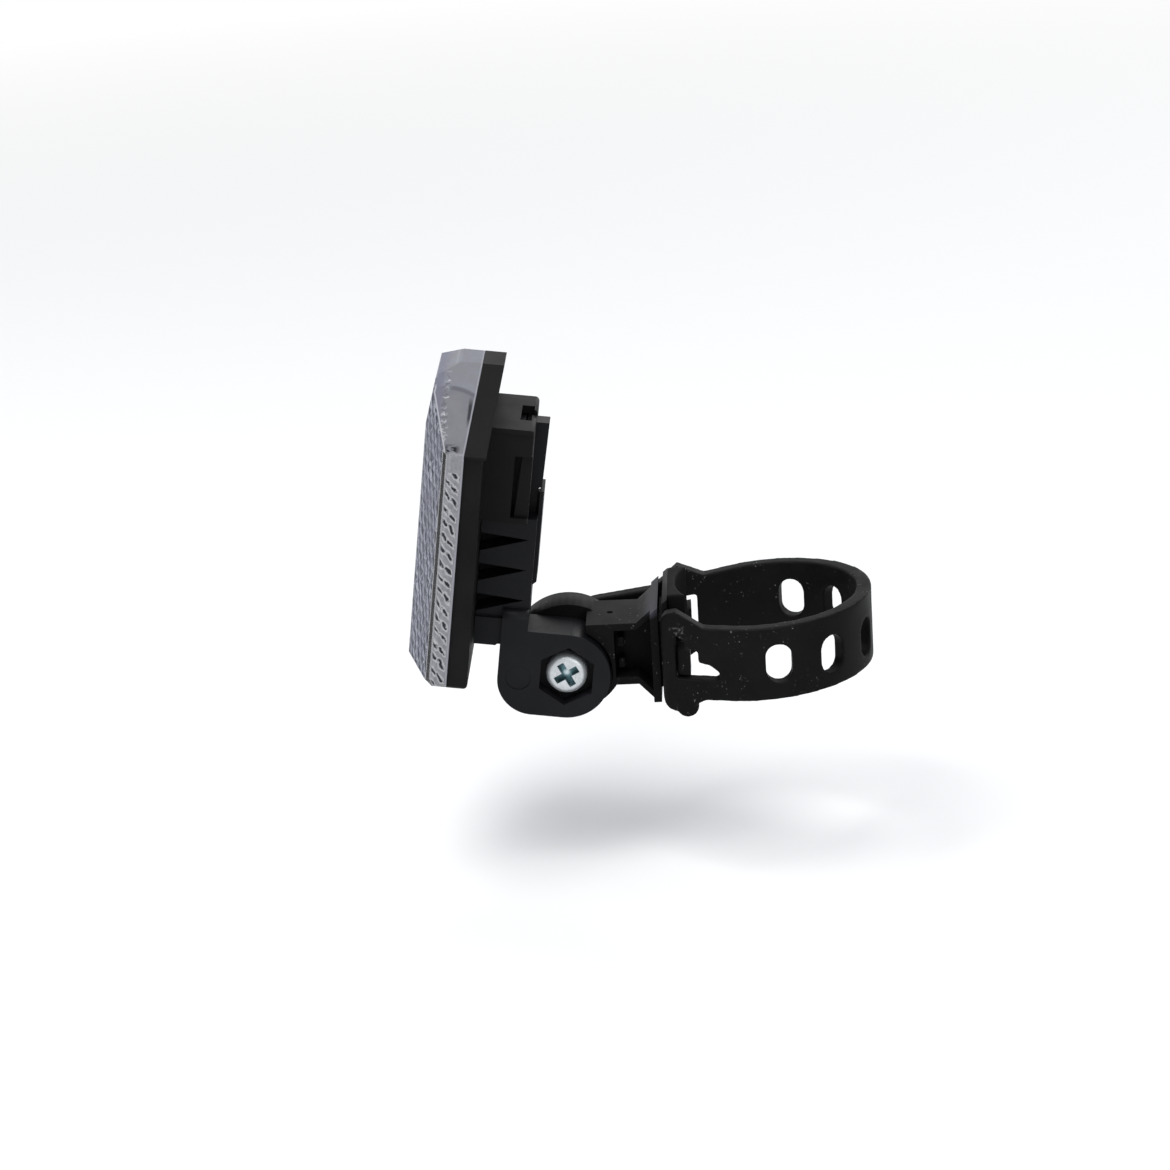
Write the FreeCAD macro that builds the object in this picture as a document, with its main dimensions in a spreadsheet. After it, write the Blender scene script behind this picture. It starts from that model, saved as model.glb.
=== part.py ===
"""Front reflector on a tilting bracket that a stretched rubber strap holds.

Millimetres. +Z runs up the strap's axis and the reflector faces -Y. The origin is on
that axis at half the strap's height. The tilting pieces are drawn upright about the
hinge, which is the X axis of their own frame, and then leaned back.
"""
import FreeCAD, Part
import math
import os
import re
import Sketcher

V = FreeCAD.Vector

SIZES = [
    # the strap and the round that it is stretched to
    ("tube_radius", 17.5),
    ("strap_thick", 2.9),
    ("strap_tall", 14.6),
    ("strap_slope_deg", 3.6),
    ("strap_half_wide", 11.9),
    ("hook_set_back", 1.7),
    ("loop_past_hook", 3.1),
    ("flare_top", 3.2),
    ("flare_bottom", 2.4),
    ("flare_long", 5.2),
    ("window_long", 8.2),
    ("window_top", 2.8),
    ("window_bottom", 3.0),
    ("window_step", 4.2),
    ("window_rise", 2.9),
    ("loop_round", 2.4),
    ("tail_past_hook", 17.7),
    ("tail_tall", 13.4),
    ("tail_end_tall", 11.6),
    ("hole_wide", 5.0),
    ("hole_tall", 7.6),
    ("hole_first_deg", 5.9),
    ("hole_pitch_deg", 31.6),
    ("hole_count", 6),
    ("nub_radius", 2.2),
    ("nub_tall", 3.0),
    ("nub_drop", 2.3),
    # the rubber pad and the bracket that carries it
    ("pad_thin", 1.5),
    ("pad_half_wide", 8.3),
    ("pad_half_tall", 10.6),
    ("plate_thick", 1.0),
    ("plate_gap", 0.9),
    ("flange_thick", 1.5),
    ("plate_half_wide", 9.5),
    ("plate_half_tall", 10.8),
    ("core_inset", 2.3),
    ("top_slant_drop", 3.6),
    ("top_slant_deg", 40.0),
    ("hook_thick", 2.4),
    ("hook_tall", 4.8),
    ("hook_sink", 0.9),
    ("cheek_thick", 1.5),
    ("arm_half_wide", 7.0),
    ("arm_top", 4.7),
    ("arm_bottom", -7.8),
    ("arm_wall_top", 1.4),
    ("arm_wall_bottom", 1.5),
    ("arm_web", 1.5),
    ("arm_front_wall", 1.0),
    ("peg_wide", 1.1),
    ("peg_tall", 1.8),
    ("peg_back", 10.7),
    ("peg_high", 0.2),
    ("peg_low", -4.2),
    ("peg_reach", 4.6),
    ("arm_dot_radius", 0.6),
    ("arm_dot_back", 8.7),
    ("gusset_long", 2.8),
    ("fit_gap", 0.3),
    ("seat_gap", 0.12),
    # the hinge
    ("hinge_reach", 20.1),
    ("hinge_drop", 4.9),
    ("lean_deg", 8.2),
    ("hinge_half_wide", 9.0),
    ("ear_thick", 10.2),
    ("ear_radius", 8.5),
    ("barrel_radius", 11.0),
    ("face_gap", 0.3),
    ("screw_radius", 2.0),
    ("screw_clearance", 0.05),
    ("head_radius", 4.0),
    ("head_tall", 3.1),
    ("recess_flats", 10.2),
    ("recess_deep", 4.0),
    ("cross_turn_deg", 27.0),
    ("cross_long", 5.0),
    ("cross_wide", 1.4),
    ("cross_deep", 1.7),
    ("nut_flats", 7.0),
    ("nut_tall", 3.2),
    ("nut_recess_deep", 3.0),
    # the arm that carries the reflector, from the hinge up
    ("block_ahead", 13.3),
    ("block_round", 7.0),
    ("block_top", 12.4),
    ("beam_half_wide", 7.0),
    ("beam_back", 8.2),
    ("beam_foot", 4.7),
    ("foot_back", 14.2),
    ("foot_top", 10.3),
    ("foot_proud", 0.9),
    ("pocket_first", 14.0),
    ("pocket_pitch", 6.15),
    ("pocket_rise", 0.9),
    ("pocket_drop", 3.4),
    ("pocket_end", 9.5),
    ("pocket_web", 1.2),
    ("lever_back", 7.4),
    ("lever_thick", 0.8),
    ("lever_half_wide", 4.0),
    ("lever_bottom", 17.0),
    ("lever_top", 35.3),
    ("lever_web", 1.0),
    ("lever_slit", 0.4),
    ("blade_half_wide", 2.2),
    ("blade_back", 7.5),
    ("blade_top", 48.5),
    ("blade_nose", 11.0),
    ("head_relief", 3.0),
    # the socket on the back of the housing
    ("socket_half_wide", 11.4),
    ("socket_back", 10.0),
    ("socket_bottom", 30.8),
    ("socket_top", 49.5),
    ("socket_wall", 1.8),
    ("socket_lid", 1.6),
    ("lid_tall", 0.95),
    ("lid_proud", 0.35),
    ("slot_thick", 3.6),
    ("notch_half_wide", 4.8),
    ("notch_wall", 0.65),
    ("notch_deep", 2.4),
    ("window_high", 44.1),
    ("window_low", 31.8),
    ("window_front", 13.35),
    ("window_gap_top", 1.4),
    ("window_gap_foot", 0.7),
    ("window_sill", 1.0),
    # the reflector's body and lens
    ("half_wide", 23.0),
    ("outline_top", 59.8),
    ("outline_bottom", 0.2),
    ("shoulder_high", 47.0),
    ("top_half_wide", 4.5),
    ("corner_round", 2.4),
    ("housing_back", 18.4),
    ("housing_deep", 4.1),
    ("housing_wall", 1.8),
    ("housing_floor", 1.9),
    ("rim_step", 0.75),
    ("rim_foot", 0.15),
    ("brow_lean_deg", 6.7),
    ("shoulder_step", 0.7),
    ("shoulder_lip", 0.5),
    ("back_round", 0.8),
    ("lens_deep", 8.3),
    ("lens_side_deep", 3.9),
    ("panel_half_wide", 7.6),
    ("brow_high", 48.0),
    ("brow_set_back", 1.3),
    ("crown_deep", 4.4),
    ("crown_drop", 2.2),
    ("chin_round", 1.5),
    ("lens_wall", 2.2),
]

# places that follow from the sizes
PLACES = [
    ("hook_ahead", "=tube_radius + pad_thin - hook_set_back"),
    ("hinge_ahead", "=tube_radius + pad_thin + hinge_reach"),
    ("strap_span", "=sqrt(hook_ahead * hook_ahead + strap_half_wide * strap_half_wide)"),
    ("strap_leave_deg",
     "=(atan(hook_ahead / strap_half_wide) - acos(tube_radius / strap_span)) / 1 deg"),
]

doc = FreeCAD.newDocument("reflector")
sheet = doc.addObject("Spreadsheet::Sheet", "Sizes")
for row, (alias, value) in enumerate(SIZES + PLACES, start=1):
    sheet.set(f"A{row}", alias)
    sheet.set(f"B{row}", str(value))
    sheet.setAlias(f"B{row}", alias)
    doc.recompute()


def size(alias):
    """The number that the sheet holds under a name."""
    return float(sheet.get(alias))


def formula(text):
    """Point every size name in a formula at the sheet."""
    return re.sub(r"[a-z]+(?:_[a-z]+)+", r"Sizes.\g<0>", text)


def new_body(name, lean=False, hinge=False):
    """A body in the strap's frame, or in the hinge's frame, upright or leaned back."""
    body = doc.addObject("PartDesign::Body", name)
    body.Label = name
    if lean or hinge:
        body.Placement = FreeCAD.Placement(V(0, 0, 0), FreeCAD.Rotation(V(-1, 0, 0), 1))
        body.setExpression("Placement.Base.y", formula("-hinge_ahead"))
        body.setExpression("Placement.Base.z", formula("-hinge_drop"))
        body.setExpression("Placement.Rotation.Angle", formula("lean_deg") if lean else "0")
    return body


def new_sketch(body, name, plane, offset="0"):
    """A sketch on one of the body's own planes, moved along that plane's normal."""
    sketch = body.newObject("Sketcher::SketchObject", name)
    support = next(f for f in body.Origin.OriginFeatures if f.Role == plane)
    sketch.AttachmentSupport = [(support, "")]
    sketch.MapMode = "FlatFace"
    sketch.setExpression("AttachmentOffset.Base.z", formula(offset))
    return sketch


def place(sketch, item, point, across, up):
    """Fix one point of a sketch at two formulas."""
    for kind, text in (("DistanceX", across), ("DistanceY", up)):
        number = sketch.addConstraint(Sketcher.Constraint(kind, -1, 1, item, point, 1.0))
        sketch.setExpression(f"Constraints[{number}]", formula(text))


def outline(sketch, corners):
    """A closed outline of straight lines through corners given as formulas."""
    first = sketch.GeometryCount
    count = len(corners)
    ring = [V(math.cos(2 * math.pi * k / count), math.sin(2 * math.pi * k / count), 0)
            for k in range(count)]
    for k in range(count):
        sketch.addGeometry(Part.LineSegment(ring[k], ring[(k + 1) % count]), False)
    for k, (across, up) in enumerate(corners):
        before = first + (k - 1) % count
        sketch.addConstraint(Sketcher.Constraint("Coincident", before, 2, first + k, 1))
        place(sketch, first + k, 1, across, up)


def rectangle(sketch, left, right, low, high):
    """An upright rectangle between four formulas."""
    outline(sketch, [(left, low), (right, low), (right, high), (left, high)])


def circle(sketch, across, up, radius):
    """A circle whose centre and radius are formulas."""
    item = sketch.addGeometry(Part.Circle(V(0, 0, 0), V(0, 0, 1), 1.0), False)
    place(sketch, item, 3, across, up)
    number = sketch.addConstraint(Sketcher.Constraint("Radius", item, 1.0))
    sketch.setExpression(f"Constraints[{number}]", formula(radius))


def pad(body, name, sketch, length, both=False, back=False):
    """Add the sketch's outline as material; back turns it against the normal."""
    feature = body.newObject("PartDesign::Pad", f"{name}_pad")
    feature.Profile = sketch
    feature.SideType = "Symmetric" if both else "One side"
    feature.Reversed = back
    feature.setExpression("Length", formula(length))
    doc.recompute()
    return feature


def pocket(body, name, sketch, length, both=False, along=False):
    """Cut the sketch's outline away, against its normal unless along is set."""
    before = body.Tip.Shape.Volume
    feature = body.newObject("PartDesign::Pocket", name)
    feature.Profile = sketch
    feature.SideType = "Symmetric" if both else "One side"
    feature.Reversed = along
    feature.setExpression("Length", formula(length))
    doc.recompute()
    if not feature.Shape.Volume < before:
        raise RuntimeError(f"{name} cuts nothing")
    return feature


def mirror(body, name, features):
    """Repeat features on the other side of the middle plane."""
    feature = body.newObject("PartDesign::Mirrored", name)
    feature.Originals = features
    plane = next(f for f in body.Origin.OriginFeatures if f.Role == "YZ_Plane")
    feature.MirrorPlane = (plane, [""])
    body.Tip = feature
    doc.recompute()
    return feature


def dress(body, kind, name, field, amount, chosen):
    """Fillet or chamfer the edges of the body that the test picks."""
    base = body.Tip
    edges = [f"Edge{k}" for k, edge in enumerate(base.Shape.Edges, start=1) if chosen(edge)]
    if not edges:
        raise RuntimeError(f"{name} finds no edge")
    feature = body.newObject(kind, name)
    feature.Base = (base, edges)
    feature.setExpression(field, formula(amount))
    doc.recompute()
    return feature


def fillet(body, name, radius, chosen):
    """Round the chosen edges."""
    return dress(body, "PartDesign::Fillet", name, "Radius", radius, chosen)


def chamfer(body, name, amount, chosen):
    """Bevel the chosen edges."""
    return dress(body, "PartDesign::Chamfer", name, "Size", amount, chosen)


def along_axis(edge, axis):
    """Whether a straight edge runs along an axis of the body's frame."""
    ends = [vertex.Point for vertex in edge.Vertexes]
    if len(ends) != 2 or edge.Curve.TypeId != "Part::GeomLine":
        return False
    run = ends[1] - ends[0]
    return abs(abs(run.dot(axis)) - run.Length) < 1e-6


X_AXIS = V(1, 0, 0)
Y_AXIS = V(0, 1, 0)
Z_AXIS = V(0, 0, 1)


def near(edge, x=None, y=None, z=None, slack=0.02):
    """Whether the middle of an edge lies at the given coordinates."""
    middle = edge.valueAt((edge.FirstParameter + edge.LastParameter) / 2)
    wanted = ((middle.x, x), (middle.y, y), (middle.z, z))
    return all(goal is None or abs(found - goal) < slack for found, goal in wanted)


def back_at(high):
    """How far ahead of the hinge the back of the shell lies, below the shoulder."""
    run = "(shoulder_high - shoulder_lip - outline_bottom)"
    return (f"(housing_back + rim_foot"
            f" + (rim_step - rim_foot) * ({high} - outline_bottom) / {run})")


def on_low_back(edge):
    """Whether an edge bounds the shell's back below the shoulder, except at the shoulder."""
    middle = edge.valueAt((edge.FirstParameter + edge.LastParameter) / 2)
    shoulder = size("shoulder_high") - size("shoulder_lip")
    share = (middle.z - size("outline_bottom")) / (shoulder - size("outline_bottom"))
    step = size("rim_foot") + (size("rim_step") - size("rim_foot")) * share
    return abs(middle.y + size("housing_back") + step) < 0.02 and middle.z < shoulder - 0.1


def house_outline(inset="0"):
    """The reflector's outline: upright sides under two sloping shoulders."""
    side = f"half_wide - {inset}"
    top = f"top_half_wide - {inset} * 0.3"
    return [
        (f"-({side})", f"outline_bottom + {inset}"),
        (side, f"outline_bottom + {inset}"),
        (side, f"shoulder_high - {inset} * 0.5"),
        (top, f"outline_top - {inset}"),
        (f"-({top})", f"outline_top - {inset}"),
        (f"-({side})", f"shoulder_high - {inset} * 0.5"),
    ]


def build_lens():
    """The clear cover: a flat middle panel between two swept ones, hollow behind."""
    body = new_body("reflector_lens", lean=True)
    face = new_sketch(body, "lens_face", "XZ_Plane", "housing_back")
    outline(face, house_outline())
    pad(body, "lens_block", face, "housing_deep + lens_deep")
    seam = size("housing_back") + size("housing_deep")
    front = "housing_back + housing_deep + lens_deep"
    side = "housing_back + housing_deep + lens_side_deep"
    plan = new_sketch(body, "lens_plan", "XY_Plane")
    for sign in ("", "-"):
        outline(plan, [
            (f"{sign}panel_half_wide", f"-({front})"),
            (f"{sign}(half_wide + 1)",
             f"-({side} - (lens_deep - lens_side_deep) / (half_wide - panel_half_wide))"),
            (f"{sign}(half_wide + 1)", f"-({front} + 1)"),
            (f"{sign}panel_half_wide", f"-({front} + 1)"),
        ])
    pocket(body, "lens_swept_panels", plan, "4 * outline_top", both=True)
    profile = new_sketch(body, "lens_profile", "YZ_Plane")
    outline(profile, [
        (f"-({front})", "brow_high"),
        (f"-({front} - brow_set_back)", "outline_top - crown_drop"),
        (f"-({front} - brow_set_back - crown_deep)", "outline_top"),
        (f"-({front} - brow_set_back - crown_deep)", "outline_top + 1"),
        (f"-({front} + 1)", "outline_top + 1"),
        (f"-({front} + 1)", "brow_high"),
    ])
    pocket(body, "lens_brow", profile, "4 * half_wide", both=True)
    base = body.Tip
    open_faces = [f"Face{k}" for k, item in enumerate(base.Shape.Faces, start=1)
                  if abs(item.CenterOfMass.y + size("housing_back")) < 1e-3]
    hollow = body.newObject("PartDesign::Thickness", "lens_hollow")
    hollow.Base = (base, open_faces)
    hollow.Reversed = True
    hollow.setExpression("Value", formula("lens_wall"))
    doc.recompute()
    back = "(housing_back + housing_deep)"
    rise = "tan(brow_lean_deg * 1 deg) * (outline_top + 1 - shoulder_high)"
    rear = new_sketch(body, "lens_rear", "YZ_Plane")
    outline(rear, [
        (f"-{back}", "outline_bottom - 1"), (f"-{back}", "shoulder_high"),
        (f"-({back} - {rise})", "outline_top + 1"), ("-(housing_back - 1)", "outline_top + 1"),
        ("-(housing_back - 1)", "outline_bottom - 1"),
    ])
    pocket(body, "lens_seam", rear, "4 * half_wide", both=True)
    fillet(body, "lens_corners", "corner_round",
           lambda edge: along_axis(edge, Y_AXIS) and near(edge, z=size("outline_bottom")))
    chamfer(body, "lens_chin", "chin_round",
            lambda edge: near(edge, z=size("outline_bottom"))
            and edge.CenterOfMass.y < -seam - size("lens_side_deep") - 0.05)
    return body


def build_housing():
    """The dark back shell with the socket that slides on the arm."""
    body = new_body("reflector_housing", lean=True)
    seam = "(housing_back + housing_deep)"
    rise = "tan(brow_lean_deg * 1 deg) * (outline_top + 1 - shoulder_high)"
    step = "shoulder_high - shoulder_lip"
    back = new_sketch(body, "shell_outline", "XZ_Plane", "housing_back - housing_deep")
    outline(back, house_outline())
    pad(body, "shell", back, "2 * housing_deep")
    profile = new_sketch(body, "shell_profile", "YZ_Plane")
    behind = "-(housing_back - 2 * housing_deep)"
    outline(profile, [
        (f"-{back_at('(outline_bottom - 1)')}", "outline_bottom - 1"), (f"-{back_at(step)}", step),
        ("-housing_back", step), ("-housing_back", "shoulder_high"),
        (f"-(housing_back - {rise})", "outline_top + 1"), (behind, "outline_top + 1"),
        (behind, "outline_bottom - 1"),
    ])
    outline(profile, [
        (f"-{seam}", "shoulder_high"), (f"-({seam} - {rise})", "outline_top + 1"),
        (f"-({seam} + 1)", "outline_top + 1"), (f"-({seam} + 1)", "shoulder_high"),
    ])
    pocket(body, "shell_lean", profile, "4 * half_wide", both=True)
    fillet(body, "shell_corners", "corner_round",
           lambda edge: along_axis(edge, Y_AXIS) and near(edge, z=size("outline_bottom")))
    fillet(body, "shell_back_edges", "back_round", on_low_back)
    sides = new_sketch(body, "step_outline", "XZ_Plane", "housing_back - 1")
    for sign in ("", "-"):
        rectangle(sides, f"{sign}(half_wide - shoulder_step)", f"{sign}(half_wide + 1)",
                  "outline_bottom - 1", step)
    pocket(body, "shoulder_steps", sides, "housing_deep + 2", along=True)
    inside = new_sketch(body, "shell_inside", "XZ_Plane", seam)
    outline(inside, house_outline("(housing_wall + shoulder_step)"))
    pocket(body, "shell_hollow", inside, "housing_deep - housing_floor")
    block = new_sketch(body, "socket_outline", "XZ_Plane", "socket_back")
    wide = "(socket_half_wide - lid_proud)"
    rectangle(block, f"-{wide}", wide, "socket_bottom", "socket_top - lid_tall * 0.6")
    pad(body, "socket", block, "housing_back + rim_step - socket_back + 0.1")
    fillet(body, "socket_round", "back_round",
           lambda edge: near(edge, y=-size("socket_back")) and along_axis(edge, Z_AXIS))
    lid = new_sketch(body, "lid_outline", "XY_Plane", "socket_top")
    rectangle(lid, "-socket_half_wide", "socket_half_wide", "-(housing_back + 0.1)",
              "-socket_back")
    pad(body, "socket_lid", lid, "lid_tall", back=True)
    fillet(body, "lid_round", "back_round", lambda edge: near(edge, z=size("socket_top"))
           and near(edge, y=-size("socket_back")) or along_axis(edge, Z_AXIS)
           and near(edge, y=-size("socket_back"), z=size("socket_top") - size("lid_tall") / 2))
    cavity = new_sketch(body, "cavity_outline", "XZ_Plane", "socket_back + socket_wall")
    rectangle(cavity, f"-({wide} - socket_wall)", f"{wide} - socket_wall",
              "socket_bottom - 1", "socket_top - socket_lid")
    pocket(body, "socket_cavity", cavity, "slot_thick", along=True)
    neck = new_sketch(body, "neck_outline", "XZ_Plane", "socket_back - 1")
    rectangle(neck, "-(blade_half_wide + fit_gap)", "blade_half_wide + fit_gap",
              "socket_bottom - 1", "socket_top + 1")
    pocket(body, "socket_neck", neck, "socket_wall + 2", along=True)
    notch = new_sketch(body, "notch_outline", "XY_Plane", "socket_top")
    rectangle(notch, "-notch_half_wide", "notch_half_wide",
              "-(socket_back + notch_wall + notch_deep)", "-(socket_back + notch_wall)")
    pocket(body, "socket_notch", notch, "socket_lid + 0.5")
    for end, sign, inward in (("near", "", False), ("far", "-", True)):
        gap = new_sketch(body, f"{end}_gap_outline", "YZ_Plane", f"{sign}socket_half_wide")
        outline(gap, [
            ("-window_front", "window_low"), ("-window_front", "window_high"),
            ("-(window_front - window_gap_top)", "window_high"),
            ("-(window_front - window_gap_foot)", "window_low"),
        ])
        pocket(body, f"{end}_gap", gap, "lid_proud + socket_wall + 0.5", along=inward)
        sill = new_sketch(body, f"{end}_sill_outline", "YZ_Plane", f"{sign}socket_half_wide")
        rectangle(sill, "-(window_front - window_gap_foot)", "-(socket_back - 1)",
                  "window_low", "window_high")
        pocket(body, f"{end}_sill", sill, "lid_proud + window_sill", along=inward)
    return body


def build_arm():
    """The tilting arm: ear at the hinge, ribbed beam, and the tongue in the socket."""
    body = new_body("tilt_arm", lean=True)
    ear_face = "hinge_half_wide"
    inner_face = "(hinge_half_wide - ear_thick)"
    ear = new_sketch(body, "ear_outline", "YZ_Plane", inner_face)
    circle(ear, "0", "0", "ear_radius")
    pad(body, "ear", ear, "ear_thick")
    block = new_sketch(body, "block_outline", "YZ_Plane", inner_face)
    outline(block, [
        ("-block_ahead", "-ear_radius"), ("0", "-ear_radius"), ("0", "ear_radius"),
        ("-beam_back", "ear_radius"), ("-beam_back", "block_top"), ("-block_ahead", "block_top"),
    ])
    pad(body, "ear_block", block, "ear_thick")
    fillet(body, "block_corner", "block_round",
           lambda edge: along_axis(edge, X_AXIS)
           and near(edge, y=-size("block_ahead"), z=-size("ear_radius")))
    beam_top = "(socket_bottom - fit_gap)"
    fillet(body, "block_shoulder", "(hinge_half_wide - beam_half_wide) * 0.9",
           lambda edge: along_axis(edge, Y_AXIS)
           and near(edge, x=size("hinge_half_wide"), z=size("block_top")))
    beam = new_sketch(body, "beam_outline", "YZ_Plane")
    outline(beam, [
        (f"-({back_at('beam_foot')} - seat_gap)", "beam_foot"), ("-beam_back", "beam_foot"),
        ("-beam_back", beam_top), (f"-({back_at(beam_top)} - seat_gap)", beam_top),
    ])
    pad(body, "beam", beam, "2 * beam_half_wide", both=True)
    foot = new_sketch(body, "foot_outline", "YZ_Plane")
    outline(foot, [
        (f"-({back_at('beam_foot')} - seat_gap)", "beam_foot"), ("-foot_back", "beam_foot"),
        ("-block_ahead", "beam_foot + 1"), ("-block_ahead", "foot_top"),
        (f"-({back_at('foot_top')} - seat_gap)", "foot_top"),
    ])
    pad(body, "foot", foot, "2 * (beam_half_wide + foot_proud)", both=True)
    room = new_sketch(body, "barrel_room", "YZ_Plane", inner_face)
    circle(room, "0", "0", "barrel_radius + fit_gap")
    pocket(body, "barrel_clearance", room, "3 * hinge_half_wide")
    for end, inner, outward in (("near", "pocket_web", False), ("far", "-pocket_web", True)):
        wedges = new_sketch(body, f"{end}_wedges", "YZ_Plane", inner)
        for k in range(3):
            point = f"pocket_first + {k} * pocket_pitch"
            outline(wedges, [
                ("-(housing_back + 2)", f"{point} + pocket_rise"),
                ("-(housing_back + 2)", f"{point} - pocket_drop"), ("-pocket_end", point),
            ])
        pocket(body, f"{end}_pockets", wedges, "2 * beam_half_wide", along=not outward)
    build_tongue(body)
    build_ear_cuts(body, ear_face)
    return body


def build_tongue(body):
    """The head and blade that slide in the socket, and the release lever."""
    root = "socket_bottom - fit_gap - 0.1"
    head_back = "socket_back + socket_wall + fit_gap"
    head = new_sketch(body, "head_outline", "XZ_Plane", head_back)
    side = "socket_half_wide - lid_proud - socket_wall - fit_gap"
    high = "socket_top - socket_lid - fit_gap"
    waist = f"({side} - head_relief)"
    right = [
        (side, root), (side, "window_low - 1"), (waist, "window_low - 0.4"),
        (waist, "window_high + 0.4"), (side, "window_high + 1"), (side, f"{high} - 2"),
        (f"{side} - 2", high),
    ]
    outline(head, right + [(f"-({across})", up) for across, up in reversed(right)])
    pad(body, "tongue_head", head, "slot_thick - 2 * fit_gap")
    blade = new_sketch(body, "blade_outline", "YZ_Plane")
    slit_side = "lever_back + lever_thick + lever_slit"
    outline(blade, [
        (f"-({head_back} + 0.1)", root), (f"-({slit_side})", root),
        (f"-({slit_side})", "lever_top"), ("-(blade_back + 0.4)", "lever_top + 0.4"),
        ("-blade_back", "blade_top"), ("-blade_nose", "blade_top"),
        ("-blade_nose", f"{high} - 1"), (f"-({head_back} + 0.1)", f"{high} - 1"),
    ])
    pad(body, "tongue_blade", blade, "2 * blade_half_wide", both=True)
    lever = new_sketch(body, "lever_outline", "YZ_Plane")
    outline(lever, [
        ("-(beam_back + 0.1)", "lever_bottom - lever_thick"), ("-lever_back", "lever_bottom"),
        ("-lever_back", "lever_top"), ("-(lever_back + lever_thick)", "lever_top"),
        ("-(lever_back + lever_thick)", root), ("-(beam_back + 0.1)", root),
    ])
    pad(body, "release_lever", lever, "2 * lever_half_wide", both=True)
    web = new_sketch(body, "lever_web_outline", "YZ_Plane")
    rectangle(web, f"-({slit_side} + 0.1)", "-(lever_back + lever_thick - 0.1)", root,
              "lever_top - 1")
    pad(body, "lever_web", web, "2 * lever_web", both=True)


def build_ear_cuts(body, ear_face):
    """The hexagon seat, the screw hole and the small marks in the ear."""
    seat = new_sketch(body, "seat_outline", "YZ_Plane", ear_face)
    flat = "recess_flats / 2"
    point = "recess_flats / sqrt(3)"
    outline(seat, [
        ("0", point), (f"-({flat})", f"{point} / 2"), (f"-({flat})", f"-({point}) / 2"),
        ("0", f"-({point})"), (flat, f"-({point}) / 2"), (flat, f"{point} / 2"),
    ])
    pocket(body, "hexagon_seat", seat, "recess_deep")
    bore = new_sketch(body, "bore_outline", "YZ_Plane", ear_face)
    circle(bore, "0", "0", "screw_radius + screw_clearance")
    pocket(body, "screw_bore", bore, "ear_thick + 1")
    mark = new_sketch(body, "mark_outline", "YZ_Plane", ear_face)
    circle(mark, "-(block_ahead - 4)", "-1.1", "2.5")
    pocket(body, "round_mark", mark, "0.25")


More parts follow.
